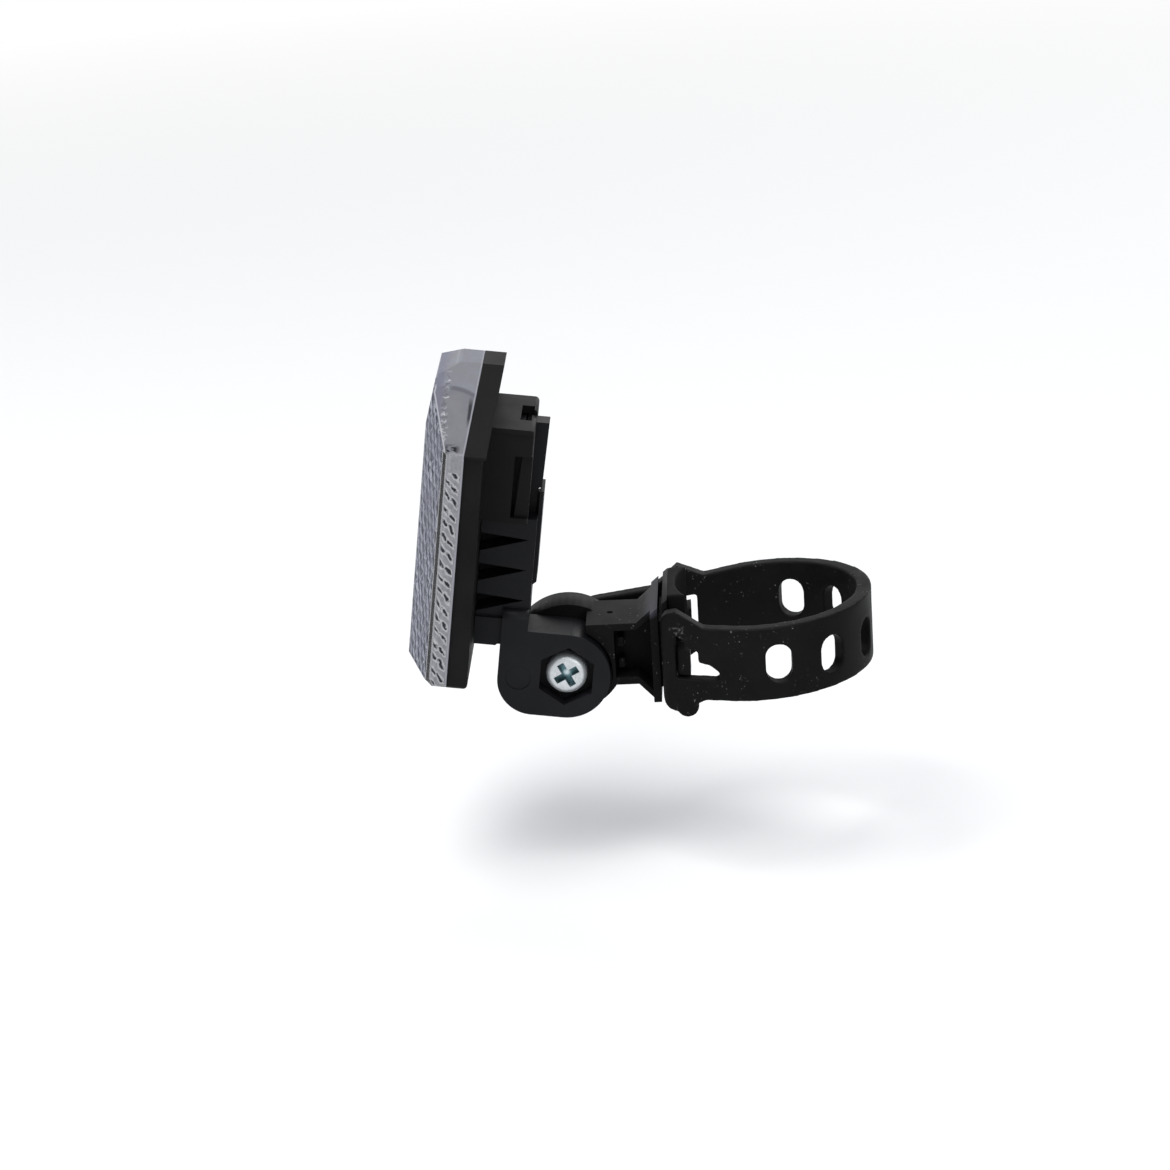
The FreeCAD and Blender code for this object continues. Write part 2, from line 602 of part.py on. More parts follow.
def build_bracket():
    """The fixed bracket: hinge barrel, hollow arm, flange, back plate and two hooks."""
    body = new_body("tube_bracket")
    centre = ("-hinge_ahead", "-hinge_drop")
    barrel = new_sketch(body, "barrel_outline", "YZ_Plane", "-hinge_half_wide")
    circle(barrel, *centre, "barrel_radius")
    pad(body, "barrel", barrel, "2 * hinge_half_wide - ear_thick - face_gap")
    plate_back = "(tube_radius + pad_thin)"
    plate_front = f"({plate_back} + plate_thick)"
    flange_back = f"({plate_front} + plate_gap)"
    flange_front = f"({flange_back} + flange_thick)"
    start = "-(hinge_ahead - 4.2)"
    arm = new_sketch(body, "arm_outline", "YZ_Plane")
    outline(arm, [
        (start, "arm_top"), (f"-({flange_front} + gusset_long)", "arm_top"),
        (f"-{flange_front}", "plate_half_tall - top_slant_drop"),
        (f"-{flange_back}", "plate_half_tall - top_slant_drop"),
        (f"-{flange_back}", "-plate_half_tall"), (f"-{flange_front}", "-plate_half_tall"),
        (f"-({flange_front} + gusset_long)", "arm_bottom"), (start, "arm_bottom"),
    ])
    pad(body, "arm", arm, "2 * arm_half_wide", both=True)
    room = new_sketch(body, "ear_room", "YZ_Plane", "hinge_half_wide - ear_thick - face_gap")
    circle(room, *centre, "ear_radius + fit_gap + 0.1")
    pocket(body, "ear_clearance", room, "2 * hinge_half_wide", along=True)
    for end, inner, round_part, outward in (("near", "arm_web", "ear_radius", True),
                                            ("far", "-arm_web", "barrel_radius", False)):
        recess = new_sketch(body, f"{end}_recess", "YZ_Plane", inner)
        front = f"-(hinge_ahead - {round_part} - arm_front_wall)"
        bend = f"-({flange_front} + gusset_long)"
        outline(recess, [
            (front, "arm_top - arm_wall_top"), (bend, "arm_top - arm_wall_top"),
            (f"-{flange_front}", "plate_half_tall - top_slant_drop - arm_wall_top"),
            (f"-{flange_front}", "-(plate_half_tall - arm_wall_bottom)"),
            (bend, "arm_bottom + arm_wall_bottom"), (front, "arm_bottom + arm_wall_bottom"),
        ])
        pocket(body, f"{end}_hollow", recess, "arm_half_wide", along=outward)
    pegs = new_sketch(body, "peg_outlines", "YZ_Plane", "arm_web - 0.1")
    for high in ("peg_high", "peg_low"):
        rectangle(pegs, "-(hinge_ahead - peg_back + peg_wide / 2)",
                  "-(hinge_ahead - peg_back - peg_wide / 2)",
                  f"{high} - peg_tall / 2", f"{high} + peg_tall / 2")
    pad(body, "mould_pegs", pegs, "peg_reach - arm_web + 0.1")
    flange = new_sketch(body, "flange_outline", "XZ_Plane", flange_back)
    rectangle(flange, "-plate_half_wide", "plate_half_wide", "-plate_half_tall", "plate_half_tall")
    pad(body, "flange", flange, "flange_thick")
    core = new_sketch(body, "core_outline", "XZ_Plane", f"{plate_front} - 0.1")
    rectangle(core, "-(plate_half_wide - core_inset)", "plate_half_wide - core_inset",
              "-(plate_half_tall - core_inset)", "plate_half_tall - core_inset - top_slant_drop")
    pad(body, "core", core, "plate_gap + 0.2")
    plate = new_sketch(body, "plate_outline", "XZ_Plane", plate_back)
    rectangle(plate, "-plate_half_wide", "plate_half_wide", "-plate_half_tall", "plate_half_tall")
    pad(body, "back_plate", plate, "plate_thick")
    slant = new_sketch(body, "slant_outline", "YZ_Plane")
    rise = "tan(top_slant_deg * 1 deg)"
    outline(slant, [
        (f"-({flange_front} + 1)", f"plate_half_tall - top_slant_drop - {rise}"),
        (f"-({plate_back} - 1)",
         f"plate_half_tall - top_slant_drop + {rise} * ({flange_front} - {plate_back} + 1)"),
        (f"-({plate_back} - 1)", "2 * plate_half_tall"),
        (f"-({flange_front} + 1)", "2 * plate_half_tall"),
    ])
    pocket(body, "slanted_top", slant, "4 * plate_half_wide", both=True)
    dot = new_sketch(body, "dot_outline", "XY_Plane", "arm_top")
    circle(dot, "0", "-(hinge_ahead - arm_dot_back)", "arm_dot_radius")
    pocket(body, "arm_dot", dot, "1")
    build_hooks(body, plate_back)
    build_bracket_cuts(body, centre)
    return body


def build_hooks(body, plate_back):
    """The two hooks that hold the strap, each on a cheek beside the pad."""
    hooks = new_sketch(body, "hook_outlines", "XY_Plane",
                       "-hook_ahead * tan(strap_slope_deg * 1 deg) - hook_tall / 2")
    cheek = "(pad_half_wide + fit_gap)"
    post_front = "hook_ahead"
    post_back = "(hook_ahead - hook_thick)"
    tube_side = f"(sqrt(tube_radius * tube_radius - {cheek} * {cheek}) + fit_gap)"
    outer = "(tube_radius + strap_thick) / cos(strap_leave_deg * 1 deg)"
    lean = "tan(strap_leave_deg * 1 deg)"
    tip_front = f"({outer} - {lean} * {post_front} - hook_sink)"
    tip_back = f"({outer} - {lean} * {post_back} - hook_sink)"
    for sign in ("", "-"):
        outline(hooks, [
            (f"{sign}{cheek}", f"-({plate_back} + 0.1)"), (f"{sign}{cheek}", f"-{tube_side}"),
            (f"{sign}({cheek} + cheek_thick)", f"-{post_back}"),
            (f"{sign}{tip_back}", f"-{post_back}"), (f"{sign}{tip_front}", f"-{post_front}"),
            (f"{sign}({cheek} + cheek_thick)", f"-{post_front}"),
            (f"{sign}({cheek} + cheek_thick)", f"-({plate_back} + 0.1)"),
        ])
    pad(body, "strap_hooks", hooks, "hook_tall")


def build_bracket_cuts(body, centre):
    """The screw hole and the nut's seat in the barrel."""
    bore = new_sketch(body, "bracket_bore", "YZ_Plane", "-hinge_half_wide")
    circle(bore, *centre, "screw_radius + screw_clearance")
    pocket(body, "screw_hole", bore, "2 * hinge_half_wide", along=True)
    seat = new_sketch(body, "nut_seat_outline", "YZ_Plane", "-hinge_half_wide")
    flat = "(nut_flats / 2 + screw_clearance)"
    point = f"({flat} * 2 / sqrt(3))"
    along, up = centre
    outline(seat, [
        (along, f"{up} + {point}"), (f"{along} - {flat}", f"{up} + {point} / 2"),
        (f"{along} - {flat}", f"{up} - {point} / 2"), (along, f"{up} - {point}"),
        (f"{along} + {flat}", f"{up} - {point} / 2"), (f"{along} + {flat}", f"{up} + {point} / 2"),
    ])
    pocket(body, "nut_seat", seat, "nut_recess_deep", along=True)


def build_pad():
    """The rubber pad that the bracket is pressed on."""
    body = new_body("bracket_pad")
    plan = new_sketch(body, "pad_plan", "XY_Plane", "-pad_half_tall")
    rectangle(plan, "-pad_half_wide", "pad_half_wide", "-(tube_radius + pad_thin)",
              "-sqrt(tube_radius * tube_radius - pad_half_wide * pad_half_wide) + 0.4")
    pad(body, "pad_block", plan, "2 * pad_half_tall")
    bore = new_sketch(body, "pad_bore", "XY_Plane", "-pad_half_tall - 1")
    circle(bore, "0", "0", "tube_radius")
    pocket(body, "pad_hollow", bore, "2 * pad_half_tall + 2", along=True)
    return body


def build_screw():
    """The cross-head machine screw that the arm tilts about."""
    body = new_body("tilt_screw", hinge=True)
    seat = "(hinge_half_wide - recess_deep)"
    tip = "-(hinge_half_wide - nut_recess_deep + nut_tall + 1)"
    half = new_sketch(body, "screw_half", "XY_Plane")
    outline(half, [
        (tip, "0"), (f"{seat} + head_tall", "0"), (f"{seat} + head_tall", "head_radius"),
        (seat, "head_radius"), (seat, "screw_radius"), (f"{tip} + 0.4", "screw_radius"),
        (tip, "screw_radius - 0.4"),
    ])
    turned = body.newObject("PartDesign::Revolution", "screw_turned")
    turned.Profile = half
    turned.ReferenceAxis = (half, ["H_Axis"])
    turned.Angle = 360
    doc.recompute()
    crown = size("hinge_half_wide") - size("recess_deep") + size("head_tall")
    fillet(body, "head_round", "head_tall * 0.45",
           lambda edge: edge.BoundBox.XMin > crown - 0.01 and edge.Curve.TypeId == "Part::GeomCircle")
    cross = new_sketch(body, "cross_outline", "YZ_Plane", f"{seat} + head_tall")
    cross.AttachmentOffset.Rotation = FreeCAD.Rotation(V(0, 0, 1), 1)
    cross.setExpression("AttachmentOffset.Rotation.Angle", formula("cross_turn_deg"))
    reach, bar = "cross_long / 2", "cross_wide / 2"
    outline(cross, [
        (reach, f"-{bar}"), (reach, bar), (bar, bar), (bar, reach), (f"-{bar}", reach),
        (f"-{bar}", bar), (f"-{reach}", bar), (f"-{reach}", f"-{bar}"), (f"-{bar}", f"-{bar}"),
        (f"-{bar}", f"-{reach}"), (bar, f"-{reach}"), (bar, f"-{bar}"),
    ])
    pocket(body, "cross_recess", cross, "cross_deep")
    return body


def build_nut():
    """The hexagon nut held in the far end of the barrel."""
    body = new_body("tilt_nut", hinge=True)
    face = new_sketch(body, "nut_outline", "YZ_Plane", "-(hinge_half_wide - nut_recess_deep)")
    flat, point = "nut_flats / 2", "nut_flats / sqrt(3)"
    outline(face, [
        ("0", point), (f"-({flat})", f"{point} / 2"), (f"-({flat})", f"-({point}) / 2"),
        ("0", f"-({point})"), (flat, f"-({point}) / 2"), (flat, f"{point} / 2"),
    ])
    circle(face, "0", "0", "screw_radius + screw_clearance")
    pad(body, "nut", face, "nut_tall", back=True)
    return body


def build_strap():
    """The stretched rubber strap: a band with holes, a loop end and a tail."""
    body = new_body("clamp_strap")
    tall = "2 * strap_tall"
    low = "-strap_tall"
    outer = "(tube_radius + strap_thick)"
    ring = new_sketch(body, "ring_outline", "XY_Plane", low)
    circle(ring, "0", "0", outer)
    circle(ring, "0", "0", "tube_radius")
    pad(body, "ring", ring, tall)
    side = "cos(strap_leave_deg * 1 deg)"
    ahead = "sin(strap_leave_deg * 1 deg)"
    gap = new_sketch(body, "front_gap", "XY_Plane", low)
    outline(gap, [
        ("0", "0"), (f"3 * tube_radius * {side}", f"-3 * tube_radius * {ahead}"),
        ("3 * tube_radius", "-3 * tube_radius"), ("-3 * tube_radius", "-3 * tube_radius"),
        (f"-3 * tube_radius * {side}", f"-3 * tube_radius * {ahead}"),
    ])
    pocket(body, "open_front", gap, tall, along=True)
    ends = new_sketch(body, "end_outlines", "XY_Plane", low)
    reach = "(hook_ahead + loop_past_hook)"
    lean = "tan(strap_leave_deg * 1 deg)"
    inner_x = f"(tube_radius / {side} - {lean} * {reach})"
    outer_x = f"({outer} / {side} - {lean} * {reach})"
    outline(ends, [
        (f"tube_radius * {side}", f"-tube_radius * {ahead}"),
        (f"{outer} * {side}", f"-{outer} * {ahead}"),
        (outer_x, f"-{reach}"), (inner_x, f"-{reach}"),
    ])
    tail = "(hook_ahead + tail_past_hook)"
    outline(ends, [
        (f"-tube_radius * {side}", f"-tube_radius * {ahead}"),
        (f"-{outer} * {side}", f"-{outer} * {ahead}"),
        (f"-{outer_x}", f"-{reach}"), (f"-{outer_x}", f"-{tail}"),
        (f"-{inner_x}", f"-{tail}"), (f"-{inner_x}", f"-{reach}"),
    ])
    pad(body, "strap_ends", ends, tall)
    end_y = -(size("hook_ahead") + size("loop_past_hook"))
    tail_y = -(size("hook_ahead") + size("tail_past_hook"))
    fillet(body, "end_round", "strap_thick * 0.45",
           lambda edge: along_axis(edge, Z_AXIS)
           and (near(edge, y=tail_y) or (near(edge, y=end_y) and edge.CenterOfMass.x > 0)))
    trim_strap(body)
    nub = new_sketch(body, "nub_outline", "YZ_Plane",
                     f"tube_radius / {side} - {lean} * (hook_ahead - hook_thick / 2) + fit_gap")
    circle(nub, "-(hook_ahead - hook_thick / 2 - fit_gap)", "-(strap_tall / 2 + nub_drop)",
           "nub_radius")
    pad(body, "pull_nub", nub, "nub_tall")
    pierce_strap(body)
    return body


def trim_strap(body):
    """Cut the band to its height, sloping up towards the back, flared at the loop."""
    slope = "tan(strap_slope_deg * 1 deg)"
    far, back = "2 * hinge_ahead", "3 * tube_radius"
    flat = "(hook_ahead - flare_long)"
    tail = "(hook_ahead + flare_long)"
    tail_end = "(hook_ahead + tail_past_hook)"
    for name, sign in (("top", ""), ("bottom", "-")):
        flared = f"{sign}(strap_tall / 2 + flare_{name})"
        loop_end = "(hook_ahead + loop_past_hook)"
        level = f"({flared} - {slope} * {loop_end})"
        curve = [(f"-({loop_end} - loop_round * (1 - sin({turn} * 1 deg)))",
                  f"{level} {'-' if sign == '' else '+'} loop_round * (1 - cos({turn} * 1 deg))")
                 for turn in (0, 30, 60, 90)]
        ends = {
            "near": curve + [(f"-{far}", curve[-1][1])],
            "far": [
                (f"-{tail}", f"{sign}tail_tall / 2 - {slope} * {tail}"),
                (f"-{tail_end}", f"{sign}tail_end_tall / 2 - {slope} * {tail_end}"),
                (f"-{far}", f"{sign}tail_end_tall / 2 - {slope} * {tail_end}"),
            ],
        }
        for half, run in ends.items():
            trim = new_sketch(body, f"{half}_{name}_trim", "YZ_Plane")
            outline(trim, [
                (back, f"{sign}strap_tall / 2 + {slope} * {back}"),
                (f"-{flat}", f"{sign}strap_tall / 2 - {slope} * {flat}"),
                ("-hook_ahead", f"{flared} - {slope} * hook_ahead"),
                *run,
                (f"-{far}", f"{sign}3 * strap_tall"), (back, f"{sign}3 * strap_tall"),
            ])
            pocket(body, f"{half}_{name}_cut", trim, back, along=half == "near")


def pierce_strap(body):
    """The row of oval holes, the loop's window and the hole over the far hook."""
    slope = "tan(strap_slope_deg * 1 deg)"
    hole = new_sketch(body, "hole_outline", "YZ_Plane")
    hole.AttachmentOffset.Rotation = FreeCAD.Rotation(V(0, 1, 0), 1)
    hole.setExpression("AttachmentOffset.Rotation.Angle", formula("hole_first_deg"))
    slot(hole, "0", "0", "hole_wide", "hole_tall")
    first = pocket(body, "strap_hole", hole, "2 * tube_radius", along=True)
    row = body.newObject("PartDesign::PolarPattern", "strap_holes")
    row.Originals = [first]
    row.Axis = (next(f for f in body.Origin.OriginFeatures if f.Role == "Z_Axis"), [""])
    row.setExpression("Occurrences", formula("hole_count"))
    row.setExpression("Angle", formula("hole_pitch_deg * (hole_count - 1)"))
    body.Tip = row
    doc.recompute()
    window = new_sketch(body, "window_outline", "YZ_Plane", "tube_radius * 0.4")
    front = "(hook_ahead + fit_gap)"
    middle = f"-{slope} * hook_ahead"
    top, bottom = f"{middle} + window_top", f"{middle} - window_bottom"
    step, rear = f"-({front} - window_step)", f"-({front} - window_long)"
    outline(window, [
        (f"-{front}", bottom), (f"{rear} - 0.5", f"{bottom} + 0.4"),
        (rear, f"{bottom} + 0.9"), (rear, f"{bottom} + 1.9"),
        (f"{rear} - 1.8", f"{middle} + 0.2"), (step, f"{middle} + 0.5"), (step, top),
        (f"-({front} - window_step * 0.6)", f"{top} + 0.4"),
        (f"-({front} - window_step * 0.3)", f"{top} + window_rise * 0.7"),
        (f"-{front}", f"{top} + window_rise"),
    ])
    pocket(body, "loop_window", window, "tube_radius", along=True)
    peg = new_sketch(body, "peg_hole_outline", "YZ_Plane", "-tube_radius * 0.4")
    rectangle(peg, f"-{front}", "-(hook_ahead - hook_thick - 4 * fit_gap)",
              f"{middle} - hole_tall / 2", f"{middle} + hole_tall / 2")
    pocket(body, "peg_hole", peg, "tube_radius")


def slot(sketch, across, up, wide, tall):
    """An upright slot with round ends about its centre."""
    items = [
        sketch.addGeometry(Part.ArcOfCircle(Part.Circle(V(0, 2, 0), V(0, 0, 1), 1), 0, math.pi)),
        sketch.addGeometry(Part.LineSegment(V(-1, 2, 0), V(-1, -2, 0))),
        sketch.addGeometry(Part.ArcOfCircle(Part.Circle(V(0, -2, 0), V(0, 0, 1), 1),
                                            math.pi, 2 * math.pi)),
        sketch.addGeometry(Part.LineSegment(V(1, -2, 0), V(1, 2, 0))),
    ]
    for k, item in enumerate(items):
        sketch.addConstraint(Sketcher.Constraint("Tangent", item, 2, items[(k + 1) % 4], 1))
    for item, side in ((items[0], "+"), (items[2], "-")):
        place(sketch, item, 3, across, f"{up} {side} ({tall} - {wide}) / 2")
        number = sketch.addConstraint(Sketcher.Constraint("Radius", item, 1.0))
        sketch.setExpression(f"Constraints[{number}]", formula(f"{wide} / 2"))


PARTS = [
    build_lens(),
    build_housing(),
    build_arm(),
    build_screw(),
    build_nut(),
    build_bracket(),
    build_pad(),
    build_strap(),
]

doc.recompute()
for item in doc.Objects:
    if "Invalid" in item.State or "Error" in item.State:
        raise RuntimeError(f"{item.Name} failed: {item.State}")
for body in PARTS:
    if body.Shape.isNull() or not body.Shape.isValid():
        raise RuntimeError(f"{body.Label} has no valid shape")
    if len(body.Shape.Solids) != 1:
        raise RuntimeError(f"{body.Label} has {len(body.Shape.Solids)} solids")

os.makedirs("parts", exist_ok=True)
for body in PARTS:
    body.Shape.exportStep(f"parts/{body.Label}.step")
    box = body.Shape.BoundBox
    print(f"{body.Label}: {body.Shape.Volume:.0f} mm3, "
          f"{box.XLength:.1f} x {box.YLength:.1f} x {box.ZLength:.1f} mm")
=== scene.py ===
"""Looks of the front reflector: finishes, the prism lens and the moulded rubber."""
import math

import bmesh
import bpy
from mathutils import Matrix, Vector


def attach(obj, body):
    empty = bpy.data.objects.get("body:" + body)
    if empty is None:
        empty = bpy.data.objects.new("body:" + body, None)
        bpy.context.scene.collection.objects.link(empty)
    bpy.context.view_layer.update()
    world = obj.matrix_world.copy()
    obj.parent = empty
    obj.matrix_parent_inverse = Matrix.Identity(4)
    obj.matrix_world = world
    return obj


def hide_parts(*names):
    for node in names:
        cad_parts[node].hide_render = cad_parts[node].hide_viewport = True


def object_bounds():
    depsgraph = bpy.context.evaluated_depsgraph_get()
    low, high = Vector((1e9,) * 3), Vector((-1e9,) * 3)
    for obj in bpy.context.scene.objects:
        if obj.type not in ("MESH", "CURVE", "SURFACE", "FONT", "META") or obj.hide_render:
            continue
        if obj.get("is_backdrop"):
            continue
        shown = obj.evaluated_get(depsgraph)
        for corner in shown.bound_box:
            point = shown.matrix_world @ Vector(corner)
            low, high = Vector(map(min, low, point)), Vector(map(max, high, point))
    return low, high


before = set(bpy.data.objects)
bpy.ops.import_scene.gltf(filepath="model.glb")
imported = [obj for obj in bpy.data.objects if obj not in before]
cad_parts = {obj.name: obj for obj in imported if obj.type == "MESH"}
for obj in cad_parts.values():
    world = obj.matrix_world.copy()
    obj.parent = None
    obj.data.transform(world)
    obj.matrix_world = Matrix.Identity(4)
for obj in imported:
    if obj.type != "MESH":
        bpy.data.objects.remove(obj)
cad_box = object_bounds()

scene = bpy.context.scene
scene.view_settings.view_transform = "Standard"

# The axis of the tilt in millimetres ahead of the origin and below it, and how far the lens leans back.
AXIS_AHEAD, AXIS_BELOW = 39.1, 4.9
LEAN = math.radians(8.2)


# Camera: a long lens at the side, a little above, rolled slightly. Pixels are those of a square frame.

FRAME_PIXELS, FOCAL_PIXELS = 1170, 4000
ORIGIN_PIXEL = (767.466, 628)
CAMERA_DISTANCE = 0.776637
SENSOR_WIDTH = 36


def make_camera():
    """Stands the camera so that the part's origin falls on its own pixel."""
    azimuth, elevation, roll = (math.radians(angle) for angle in (93, 19.242, -3.539))
    back = Vector((math.sin(azimuth) * math.cos(elevation),
                   -math.cos(azimuth) * math.cos(elevation), math.sin(elevation)))
    right = (-back).cross(Vector((0, 0, 1))).normalized()
    up = right.cross(-back)
    across = math.cos(roll) * right + math.sin(roll) * up
    upward = -math.sin(roll) * right + math.cos(roll) * up
    data = bpy.data.cameras.new("camera")
    data.lens = FOCAL_PIXELS / FRAME_PIXELS * SENSOR_WIDTH
    data.sensor_width = SENSOR_WIDTH
    data.clip_start = 0.01
    camera = bpy.data.objects.new("camera", data)
    scene.collection.objects.link(camera)
    step = CAMERA_DISTANCE / FOCAL_PIXELS
    middle = FRAME_PIXELS / 2
    place = (back * CAMERA_DISTANCE - across * (ORIGIN_PIXEL[0] - middle) * step
             + upward * (ORIGIN_PIXEL[1] - middle) * step)
    turn = Matrix((across, upward, back)).transposed().to_4x4()
    camera.matrix_world = Matrix.Translation(place) @ turn
    scene.camera = camera


make_camera()


# Node helpers.

class Nodes:
    """The node tree of a new material or world, with short calls."""

    def __init__(self, name, kind="materials"):
        self.owner = getattr(bpy.data, kind).new(name)
        self.owner.use_nodes = True
        self.tree = self.owner.node_tree
        self.tree.nodes.clear()

    def add(self, kind, **values):
        node = self.tree.nodes.new(kind)
        for key, value in values.items():
            setattr(node, key, value)
        return node

    def link(self, source, target):
        self.tree.links.new(source, target)

    def feed(self, value, socket):
        """Gives a socket a number, a colour or another node's output."""
        if isinstance(value, (int, float)):
            socket.default_value = value
        elif isinstance(value, tuple):
            socket.default_value = (*value, 1)
        else:
            self.link(value, socket)

    def coords(self):
        return self.add("ShaderNodeTexCoord").outputs["Object"]

    def noise(self, vector, scale, detail, rough, stretch=None):
        if stretch:
            mapping = self.add("ShaderNodeMapping")
            mapping.inputs["Scale"].default_value = stretch
            self.link(vector, mapping.inputs["Vector"])
            vector = mapping.outputs["Vector"]
        node = self.add("ShaderNodeTexNoise")
        node.inputs["Scale"].default_value = scale
        node.inputs["Detail"].default_value = detail
        node.inputs["Roughness"].default_value = rough
        self.link(vector, node.inputs["Vector"])
        return node.outputs["Fac"]

    def ramp(self, factor, stops):
        node = self.add("ShaderNodeValToRGB")
        ramp = node.color_ramp
        while len(ramp.elements) < len(stops):
            ramp.elements.new(0.5)
        for element, (where, colour) in zip(ramp.elements, stops):
            element.position = where
            element.color = (*colour, 1)
        self.link(factor, node.inputs["Fac"])
        return node.outputs["Color"]

    def mask(self, factor, low, high):
        """Black up to the low value and white from the high one."""
        return self.ramp(factor, [(low, (0, 0, 0)), (high, (1, 1, 1))])

    def math(self, operation, first, second=None):
        node = self.add("ShaderNodeMath", operation=operation)
        self.feed(first, node.inputs[0])
        if second is not None:
            self.feed(second, node.inputs[1])
        return node.outputs[0]

    def plus(self, first, second):
        return self.math("ADD", first, second)

    def minus(self, first, second):
        return self.math("SUBTRACT", first, second)

    def times(self, first, second):
        return self.math("MULTIPLY", first, second)

    def over(self, first, second):
        return self.math("DIVIDE", first, second)

    def length(self, first, second):
        squares = self.plus(self.math("POWER", first, 2.0), self.math("POWER", second, 2.0))
        return self.math("SQRT", squares)

    def beyond(self, value, start, slope):
        """Nothing up to a start, and rising at a slope from there."""
        return self.times(self.math("MAXIMUM", self.minus(value, start), 0.0), slope)

    def mix(self, factor, first, second):
        node = self.add("ShaderNodeMix", data_type="RGBA")
        for value, name in ((factor, "Factor"), (first, "A"), (second, "B")):
            self.feed(value, next(s for s in node.inputs if s.name == name and s.enabled))
        return next(s for s in node.outputs if s.enabled)

    def along(self, vector, direction, offset=0.0):
        node = self.add("ShaderNodeVectorMath", operation="DOT_PRODUCT")
        self.link(vector, node.inputs[0])
        node.inputs[1].default_value = direction
        return self.plus(node.outputs["Value"], offset)

    def span(self, value, low, high, to_low, to_high):
        node = self.add("ShaderNodeMapRange")
        node.inputs["From Min"].default_value = low
        node.inputs["From Max"].default_value = high
        node.inputs["To Min"].default_value = to_low
        node.inputs["To Max"].default_value = to_high
        self.link(value, node.inputs["Value"])
        return node.outputs["Result"]

    def band(self, value, middle, half):
        """One at the middle, falling to nothing at half a width away."""
        away = self.math("ABSOLUTE", self.minus(value, middle))
        return self.span(away, 0.4 * half, half, 1, 0)

    def patch(self, at, place, amount, near_only=True):
        """A soft round patch: its place back and up, and its radius, in millimetres."""
        back, up, radius = place
        y = self.along(at, (0, 1000, 0), -back)
        z = self.along(at, (0, 0, 1000), -up)
        round_patch = self.span(self.length(y, z), 0.4 * radius, radius, amount, 0)
        if not near_only:
            return round_patch
        near = self.span(self.along(at, (1000, 0, 0)), 0.0, 1.0, 0, 1)
        return self.times(round_patch, near)

    def bump(self, height, strength, distance, normal=None):
        node = self.add("ShaderNodeBump")
        node.inputs["Strength"].default_value = strength
        node.inputs["Distance"].default_value = distance
        self.link(height, node.inputs["Height"])
        if normal is not None:
            self.link(normal, node.inputs["Normal"])
        return node.outputs["Normal"]

    def surface(self, colour, rough, normal, **fixed):
        shader = self.add("ShaderNodeBsdfPrincipled")
        self.feed(colour, shader.inputs["Base Color"])
        self.feed(rough, shader.inputs["Roughness"])
        self.link(normal, shader.inputs["Normal"])
        for name, value in fixed.items():
            shader.inputs[name.replace("_", " ")].default_value = value
        self.output("ShaderNodeOutputMaterial", shader)
        return shader

    def shown(self):
        """One for what the camera, a reflection or clear plastic shows, and nothing for light on the part."""
        path = self.add("ShaderNodeLightPath")
        seen = self.math("MAXIMUM", path.outputs["Is Camera Ray"], path.outputs["Is Glossy Ray"])
        return self.math("MAXIMUM", seen, path.outputs["Is Transmission Ray"])

    def blend(self, factor, first, second, kind):
        """Shows the first shader, and the second by the factor."""
        mixed = self.add("ShaderNodeMixShader")
        self.link(factor, mixed.inputs[0])
        self.link(first.outputs[0], mixed.inputs[1])
        self.link(second.outputs[0], mixed.inputs[2])
        self.output(kind, mixed)

    def output(self, kind, shader):
        self.link(shader.outputs[0], self.add(kind).inputs["Surface"])


# Finishes of the plastic, the rubber and the metal.

def moulded_plastic(name, low, high, rough, dust=0.0, sheen=0.08, wear_and_highlight=None):
    """Black ABS with a spark-eroded grain, uneven sheen, a trace of dust and, where asked, a pale patch of
    painted highlight.
    """
    m = Nodes(name)
    at = m.coords()
    cloud = m.noise(at, 90, 4, 0.6)
    grain = m.noise(at, 2600, 2, 0.6)
    colour = m.ramp(cloud, [(0.3, low), (0.7, high)])
    if dust:
        specks = m.mask(m.noise(at, 1500, 1, 0.4), 0.70, 0.78)
        patch = m.mask(m.noise(at, 140, 2, 0.5), 0.45, 0.7)
        colour = m.mix(m.times(m.times(specks, patch), dust), colour, (0.35, 0.34, 0.32))
    # Painted highlight: a pale bluish patch at the given place, broken up by the cloud.
    if wear_and_highlight:
        painted_highlight = m.times(m.patch(at, wear_and_highlight, 0.75, near_only=False), m.span(cloud, 0.35, 0.65, 0.3, 1))
        colour = m.mix(painted_highlight, colour, (0.1, 0.1, 0.125))
    roughness = m.span(cloud, 0.3, 0.7, rough - 0.06, rough + 0.08)
    normal = m.bump(grain, 0.22, 0.00006)
    normal = m.bump(cloud, 0.1, 0.0002, normal)
    m.surface(colour, roughness, normal, IOR=1.5, Specular_IOR_Level=sheen)
    return m.owner


def moulded_rubber(name, low, high, rough, dust=0.0, wear_and_highlight=()):
    """Satin rubber: soft mottling, fine grain and pale dust in places."""
    m = Nodes(name)
    at = m.coords()
    cloud = m.noise(at, 160, 5, 0.62)
    grain = m.noise(at, 3200, 2, 0.6)
    colour = m.ramp(cloud, [(0.3, low), (0.72, high)])
    if dust:
        specks = m.mask(m.noise(at, 1700, 2, 0.5), 0.66, 0.74)
        patch = m.mask(m.noise(at, 120, 3, 0.6), 0.5, 0.68)
        colour = m.mix(m.times(m.times(specks, patch), dust), colour, (0.42, 0.42, 0.41))
    # Pale scuffs of wear near the given places.
    for place in wear_and_highlight:
        scuffs = m.span(m.noise(at, 1400, 3, 0.6), 0.52, 0.62, 0, 1)
        colour = m.mix(m.times(scuffs, m.patch(at, place, 0.5)), colour, (0.16, 0.16, 0.155))
    roughness = m.span(cloud, 0.3, 0.7, rough - 0.07, rough + 0.1)
    normal = m.bump(grain, 0.18, 0.00005)
    normal = m.bump(cloud, 0.12, 0.00025, normal)
    m.surface(colour, roughness, normal, IOR=1.5, Specular_IOR_Level=0.06)
    return m.owner


